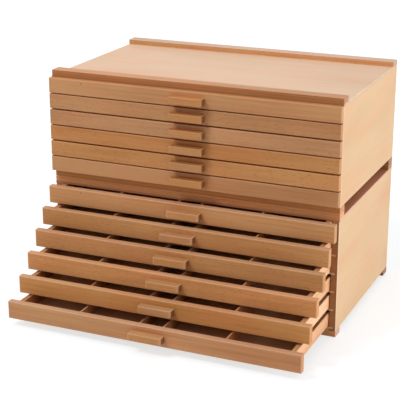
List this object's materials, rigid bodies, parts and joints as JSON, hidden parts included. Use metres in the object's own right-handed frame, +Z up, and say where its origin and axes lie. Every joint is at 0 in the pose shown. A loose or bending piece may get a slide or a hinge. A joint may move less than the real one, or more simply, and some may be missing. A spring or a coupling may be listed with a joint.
{
  "type": "pastel drawer box",
  "caption": "Two stacked wooden boxes of shallow drawers, each with divided trays on side runners, a block pull on every front and a lip and ledge to stack on.",
  "frame": {"origin": "centre of the underside of the lower box's front foot bar", "axes": "+X to the right seen from the drawer side, -Y out of the drawer side, +Z up"},
  "size_m": [0.4, 0.3879, 0.3114],
  "materials": {
    "beech_front": "clear satin oil",
    "beech_panel": "clear satin oil",
    "beech_bar": "clear satin oil",
    "thin_plywood": "sanded",
    "pale_strip": "sanded",
    "tray_wood": "sanded"
  },
  "bodies": {
    "lower_case": {"lower_front_foot": "beech_bar", "lower_rear_foot": "beech_bar", "lower_side_left": "beech_panel", "lower_side_right": "beech_panel", "lower_bottom_panel": "thin_plywood", "lower_back_panel": "thin_plywood", "lower_top_panel": "beech_panel", "lower_front_lip": "beech_bar", "lower_rear_ledge": "beech_bar", "lower_runners_left": "pale_strip", "lower_runners_right": "pale_strip"},
    "upper_case": {"upper_front_foot": "beech_bar", "upper_rear_foot": "beech_bar", "upper_side_left": "beech_panel", "upper_side_right": "beech_panel", "upper_bottom_panel": "thin_plywood", "upper_back_panel": "thin_plywood", "upper_top_panel": "beech_panel", "upper_front_lip": "beech_bar", "upper_rear_ledge": "beech_bar", "upper_runners_left": "pale_strip", "upper_runners_right": "pale_strip"},
    "lower_drawer_1": {"lower_drawer_1_front": "beech_front", "lower_drawer_1_pull": "beech_front", "lower_drawer_1_tray": "tray_wood"},
    "lower_drawer_2": {"lower_drawer_2_front": "beech_front", "lower_drawer_2_pull": "beech_front", "lower_drawer_2_tray": "tray_wood"},
    "lower_drawer_3": {"lower_drawer_3_front": "beech_front", "lower_drawer_3_pull": "beech_front", "lower_drawer_3_tray": "tray_wood"},
    "lower_drawer_4": {"lower_drawer_4_front": "beech_front", "lower_drawer_4_pull": "beech_front", "lower_drawer_4_tray": "tray_wood"},
    "lower_drawer_5": {"lower_drawer_5_front": "beech_front", "lower_drawer_5_pull": "beech_front", "lower_drawer_5_tray": "tray_wood"},
    "lower_drawer_6": {"lower_drawer_6_front": "beech_front", "lower_drawer_6_pull": "beech_front", "lower_drawer_6_tray": "tray_wood"},
    "upper_drawer_1": {"upper_drawer_1_front": "beech_front", "upper_drawer_1_pull": "beech_front", "upper_drawer_1_tray": "tray_wood"},
    "upper_drawer_2": {"upper_drawer_2_front": "beech_front", "upper_drawer_2_pull": "beech_front", "upper_drawer_2_tray": "tray_wood"},
    "upper_drawer_3": {"upper_drawer_3_front": "beech_front", "upper_drawer_3_pull": "beech_front", "upper_drawer_3_tray": "tray_wood"},
    "upper_drawer_4": {"upper_drawer_4_front": "beech_front", "upper_drawer_4_pull": "beech_front", "upper_drawer_4_tray": "tray_wood"},
    "upper_drawer_5": {"upper_drawer_5_front": "beech_front", "upper_drawer_5_pull": "beech_front", "upper_drawer_5_tray": "tray_wood"},
    "upper_drawer_6": {"upper_drawer_6_front": "beech_front", "upper_drawer_6_pull": "beech_front", "upper_drawer_6_tray": "tray_wood"}
  },
  "joints": [
    {"name": "upper_box_lift", "type": "slide", "parent": "lower_case", "child": "upper_case", "axis": [0, 0, 1], "range_m": [0, 0.06]},
    {"name": "lower_drawer_1_slide", "type": "slide", "parent": "lower_case", "child": "lower_drawer_1", "axis": [0, -1, 0], "range_m": [-0.01, 0.18]},
    {"name": "lower_drawer_2_slide", "type": "slide", "parent": "lower_case", "child": "lower_drawer_2", "axis": [0, -1, 0], "range_m": [-0.03, 0.16]},
    {"name": "lower_drawer_3_slide", "type": "slide", "parent": "lower_case", "child": "lower_drawer_3", "axis": [0, -1, 0], "range_m": [-0.05, 0.14]},
    {"name": "lower_drawer_4_slide", "type": "slide", "parent": "lower_case", "child": "lower_drawer_4", "axis": [0, -1, 0], "range_m": [-0.072, 0.118]},
    {"name": "lower_drawer_5_slide", "type": "slide", "parent": "lower_case", "child": "lower_drawer_5", "axis": [0, -1, 0], "range_m": [-0.095, 0.095]},
    {"name": "lower_drawer_6_slide", "type": "slide", "parent": "lower_case", "child": "lower_drawer_6", "axis": [0, -1, 0], "range_m": [-0.124, 0.066]},
    {"name": "upper_drawer_1_slide", "type": "slide", "parent": "upper_case", "child": "upper_drawer_1", "axis": [0, -1, 0], "range_m": [0, 0.19]},
    {"name": "upper_drawer_2_slide", "type": "slide", "parent": "upper_case", "child": "upper_drawer_2", "axis": [0, -1, 0], "range_m": [0, 0.19]},
    {"name": "upper_drawer_3_slide", "type": "slide", "parent": "upper_case", "child": "upper_drawer_3", "axis": [0, -1, 0], "range_m": [0, 0.19]},
    {"name": "upper_drawer_4_slide", "type": "slide", "parent": "upper_case", "child": "upper_drawer_4", "axis": [0, -1, 0], "range_m": [0, 0.19]},
    {"name": "upper_drawer_5_slide", "type": "slide", "parent": "upper_case", "child": "upper_drawer_5", "axis": [0, -1, 0], "range_m": [0, 0.19]},
    {"name": "upper_drawer_6_slide", "type": "slide", "parent": "upper_case", "child": "upper_drawer_6", "axis": [0, -1, 0], "range_m": [0, 0.19]}
  ]
}
